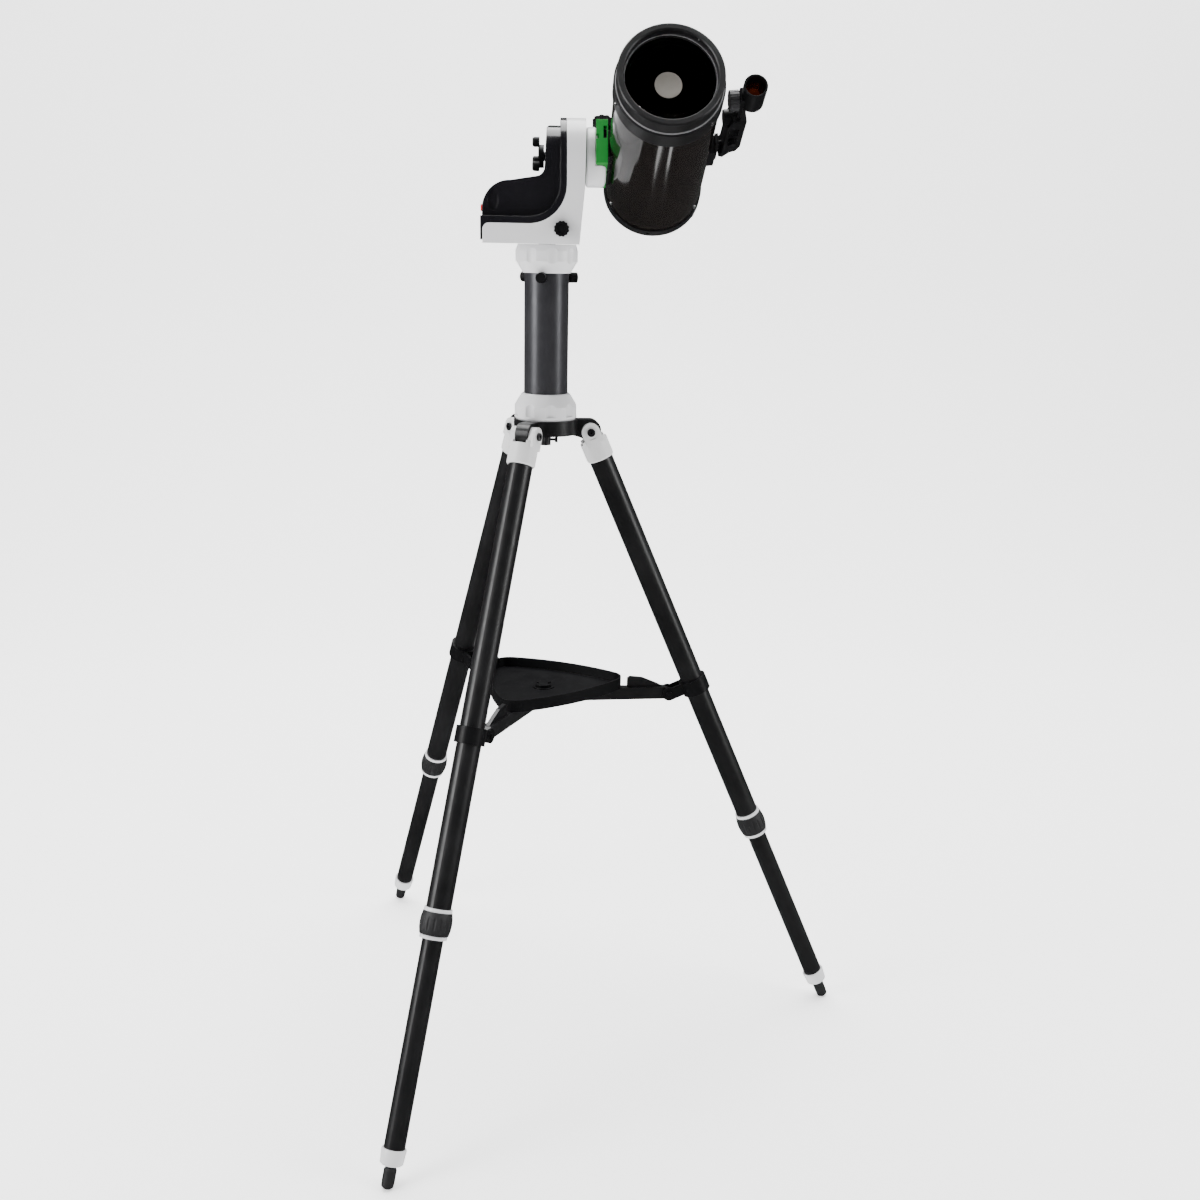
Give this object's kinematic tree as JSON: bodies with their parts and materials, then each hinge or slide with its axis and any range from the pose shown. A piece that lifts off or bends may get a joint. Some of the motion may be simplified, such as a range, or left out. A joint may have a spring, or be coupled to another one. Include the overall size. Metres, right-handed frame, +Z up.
{
  "type": "telescope on tripod",
  "caption": "Black catadioptric telescope on a single-arm white motorised altazimuth head, short pillar and three-leg tripod with accessory tray.",
  "frame": {"origin": "middle of the whole object's footprint, on the floor", "axes": "+Z up; +X from the head towards the telescope tube; -Y the way the tube's front faces"},
  "size_m": [0.7789, 0.8555, 1.4899],
  "materials": {
    "mount_white": "smooth",
    "cover_black": "smooth",
    "flange_white": "painted, satin",
    "tube_gloss": "painted, gloss",
    "cell_black": "fine texture",
    "leg_black": "satin powder coat",
    "clevis_white": "painted, satin",
    "pillar_grey": "fine texture",
    "saddle_green": "anodised",
    "glass": "coated",
    "mirror": "polished",
    "rubber": "matte",
    "steel": "painted, satin",
    "brass": "machined",
    "red": "smooth",
    "plastic_black": "matte",
    "grey_dial": "matte",
    "alloy_black": "anodised"
  },
  "bodies": {
    "tripod": {"tripod_hub": "leg_black", "leg_hinge_pins": "alloy_black", "lower_flange": "flange_white", "pillar_tube": "pillar_grey", "upper_flange": "flange_white", "pillar_screws": "plastic_black", "azimuth_wheel": "brass"},
    "captive_bolt_body": {"captive_bolt": "alloy_black"},
    "leg_1": {"leg_socket_1": "clevis_white", "upper_leg_1": "leg_black", "lock_rings_1": "flange_white", "brace_clamp_1": "plastic_black"},
    "grip_1": {"lock_grip_1": "rubber"},
    "extension_1": {"lower_leg_1": "leg_black", "foot_1": "rubber"},
    "arm_1": {"spreader_arm_1": "leg_black"},
    "leg_2": {"leg_socket_2": "clevis_white", "upper_leg_2": "leg_black", "lock_rings_2": "flange_white", "brace_clamp_2": "plastic_black"},
    "grip_2": {"lock_grip_2": "rubber"},
    "extension_2": {"lower_leg_2": "leg_black", "foot_2": "rubber"},
    "arm_2": {"spreader_arm_2": "leg_black"},
    "leg_3": {"leg_socket_3": "clevis_white", "upper_leg_3": "leg_black", "lock_rings_3": "flange_white", "brace_clamp_3": "plastic_black"},
    "grip_3": {"lock_grip_3": "rubber"},
    "extension_3": {"lower_leg_3": "leg_black", "foot_3": "rubber"},
    "arm_3": {"spreader_arm_3": "leg_black"},
    "spreader_hub_body": {"spreader_hub": "plastic_black"},
    "tray_body": {"tray": "plastic_black"},
    "tray_lock_body": {"tray_lock": "plastic_black"},
    "head": {"head_body": "mount_white", "head_cover": "cover_black", "drive_motors": "steel"},
    "power_button_body": {"power_button": "red"},
    "altitude_knob_body": {"altitude_knob": "plastic_black"},
    "azimuth_knob_body": {"azimuth_knob": "plastic_black"},
    "telescope": {"altitude_hub": "mount_white", "altitude_wheel": "brass", "saddle": "saddle_green", "dovetail_bar": "alloy_black", "optical_tube": "tube_gloss", "front_cell": "cell_black", "corrector_lens": "glass", "rear_cell": "cell_black", "visual_back": "alloy_black", "finder_mount": "plastic_black"},
    "saddle_jaw_body": {"saddle_jaw": "saddle_green"},
    "saddle_knob_body": {"saddle_knob": "plastic_black"},
    "primary_mirror_body": {"primary_mirror": "mirror"},
    "focus_knob_body": {"focus_knob": "rubber"},
    "star_diagonal_body": {"star_diagonal": "plastic_black"},
    "eyepiece_body": {"eyepiece": "plastic_black"},
    "finder_body_body": {"finder_body": "plastic_black"},
    "finder_dial_body": {"finder_dial": "grey_dial"},
    "finder_knob_body": {"finder_knob": "plastic_black"}
  },
  "joints": [
    {"name": "azimuth", "type": "hinge", "parent": "tripod", "child": "head", "pos_m": [-0.1021, 0.0204, 1.2273], "axis": [0, 0, 1], "continuous": true},
    {"name": "altitude", "type": "hinge", "parent": "head", "child": "telescope", "pos_m": [-0.1021, 0.0204, 1.342], "axis": [-1, 0, 0], "range_deg": [-40, 65]},
    {"name": "leg_fold_1", "type": "hinge", "parent": "tripod", "child": "leg_1", "pos_m": [-0.03733, 0.02591, 0.967], "axis": [-0.0847, 0.9964, 0], "range_deg": [0, 18.5]},
    {"name": "grip_turn_1", "type": "hinge", "parent": "leg_1", "child": "grip_1", "pos_m": [0.23904, 0.04941, 0.33302], "axis": [0.3994, 0.034, -0.9162], "range_deg": [0, 60]},
    {"name": "leg_length_1", "type": "slide", "parent": "leg_1", "child": "extension_1", "axis": [0.3994, 0.034, -0.9162], "range_m": [-0.28, 0.06]},
    {"name": "arm_swing_1", "type": "hinge", "parent": "leg_1", "child": "arm_1", "pos_m": [0.09384, 0.03706, 0.55907], "axis": [-0.0847, 0.9964, 0], "range_deg": [0, 61.11]},
    {"name": "leg_fold_2", "type": "hinge", "parent": "tripod", "child": "leg_2", "pos_m": [-0.13925, 0.07374, 0.967], "axis": [-0.8206, -0.5716, 0], "range_deg": [0, 18.5]},
    {"name": "grip_turn_2", "type": "hinge", "parent": "leg_2", "child": "grip_2", "pos_m": [-0.29779, 0.30134, 0.33302], "axis": [-0.2291, 0.3289, -0.9162], "range_deg": [0, 60]},
    {"name": "leg_length_2", "type": "slide", "parent": "leg_2", "child": "extension_2", "axis": [-0.2291, 0.3289, -0.9162], "range_m": [-0.28, 0.06]},
    {"name": "arm_swing_2", "type": "hinge", "parent": "leg_2", "child": "arm_2", "pos_m": [-0.2145, 0.18176, 0.55907], "axis": [-0.8206, -0.5716, 0], "range_deg": [0, 61.11]},
    {"name": "leg_fold_3", "type": "hinge", "parent": "tripod", "child": "leg_3", "pos_m": [-0.12971, -0.03844, 0.967], "axis": [0.9053, -0.4248, 0], "range_deg": [0, 18.5]},
    {"name": "grip_turn_3", "type": "hinge", "parent": "leg_3", "child": "grip_3", "pos_m": [-0.24755, -0.28954, 0.33302], "axis": [-0.1703, -0.3629, -0.9162], "range_deg": [0, 60]},
    {"name": "leg_length_3", "type": "slide", "parent": "leg_3", "child": "extension_3", "axis": [-0.1703, -0.3629, -0.9162], "range_m": [-0.28, 0.06]},
    {"name": "arm_swing_3", "type": "hinge", "parent": "leg_3", "child": "arm_3", "pos_m": [-0.18564, -0.15762, 0.55907], "axis": [0.9053, -0.4248, 0], "range_deg": [0, 61.11]},
    {"name": "hub_rise", "type": "slide", "parent": "tripod", "child": "spreader_hub_body", "axis": [0, 0, 1], "range_m": [0, 0.1222]},
    {"name": "tray_lift", "type": "slide", "parent": "tripod", "child": "tray_body", "axis": [0.2469, 0.5262, 0.8137], "range_m": [0, 0.3185]},
    {"name": "tray_lock_turn", "type": "hinge", "parent": "tray_body", "child": "tray_lock_body", "pos_m": [-0.1021, 0.0204, 0.574], "axis": [0, 0, 1], "range_deg": [0, 60]},
    {"name": "captive_bolt_turn", "type": "hinge", "parent": "tripod", "child": "captive_bolt_body", "pos_m": [-0.1021, 0.0204, 0.96], "axis": [0, 0, -1], "range_deg": [-360, 360]},
    {"name": "power_press", "type": "slide", "parent": "head", "child": "power_button_body", "axis": [1, 0, 0], "range_m": [0, 0.0015], "stiffness_N_per_m": 400},
    {"name": "altitude_clutch", "type": "hinge", "parent": "head", "child": "altitude_knob_body", "pos_m": [-0.1141, 0.0204, 1.342], "axis": [-1, 0, 0], "range_deg": [-60, 60]},
    {"name": "azimuth_clutch", "type": "hinge", "parent": "head", "child": "azimuth_knob_body", "pos_m": [-0.0824, -0.0296, 1.2474], "axis": [0, -1, 0], "range_deg": [-60, 60]},
    {"name": "jaw_open", "type": "slide", "parent": "telescope", "child": "saddle_jaw_body", "axis": [0, 0.4226, 0.9063], "range_m": [0, 0.0028]},
    {"name": "saddle_clamp", "type": "hinge", "parent": "telescope", "child": "saddle_knob_body", "pos_m": [-0.0266, 0.03187, 1.38079], "axis": [0, 0.4226, 0.9063], "range_deg": [0, 720]},
    {"name": "mirror_shift", "type": "slide", "parent": "telescope", "child": "primary_mirror_body", "axis": [0, -0.9063, 0.4226], "range_m": [-0.004, 0.004]},
    {"name": "focus_turn", "type": "hinge", "parent": "telescope", "child": "focus_knob_body", "pos_m": [0.0149, 0.1312, 1.31461], "axis": [0, 0.9063, -0.4226], "range_deg": [-360, 360]},
    {"name": "diagonal_turn", "type": "hinge", "parent": "telescope", "child": "star_diagonal_body", "pos_m": [0.0489, 0.15635, 1.27861], "axis": [0, -0.9063, 0.4226], "range_deg": [-90, 90]},
    {"name": "eyepiece_draw", "type": "slide", "parent": "star_diagonal_body", "child": "eyepiece_body", "axis": [0, 0.4226, 0.9063], "range_m": [0, 0.022]},
    {"name": "finder_swivel", "type": "hinge", "parent": "telescope", "child": "finder_body_body", "pos_m": [0.12853, -0.00627, 1.3629], "axis": [0.9954, 0.0405, 0.0869], "range_deg": [-1.5, 1.5]},
    {"name": "finder_adjust", "type": "hinge", "parent": "finder_body_body", "child": "finder_knob_body", "pos_m": [0.14451, -0.03603, 1.36295], "axis": [0.0958, -0.4207, -0.9021], "range_deg": [-90, 90]},
    {"name": "finder_dim", "type": "hinge", "parent": "finder_body_body", "child": "finder_dial_body", "pos_m": [0.13849, -0.09921, 1.40729], "axis": [0.9954, 0.0405, 0.0869], "range_deg": [0, 270]}
  ],
  "couplings": [
    {"joint": "arm_swing_1", "follows": "leg_fold_1", "ratio": 3.298},
    {"joint": "leg_fold_2", "follows": "leg_fold_1", "ratio": 1},
    {"joint": "arm_swing_2", "follows": "leg_fold_1", "ratio": 3.298},
    {"joint": "leg_fold_3", "follows": "leg_fold_1", "ratio": 1},
    {"joint": "arm_swing_3", "follows": "leg_fold_1", "ratio": 3.298},
    {"joint": "hub_rise", "follows": "leg_fold_1", "m_per_rad": 0.378},
    {"joint": "tray_lift", "follows": "leg_fold_1", "m_per_rad": 0.98575},
    {"joint": "saddle_clamp", "follows": "jaw_open", "rad_per_m": 4485.7},
    {"joint": "focus_turn", "follows": "mirror_shift", "rad_per_m": 1570},
    {"joint": "finder_adjust", "follows": "finder_swivel", "ratio": 59.97}
  ]
}
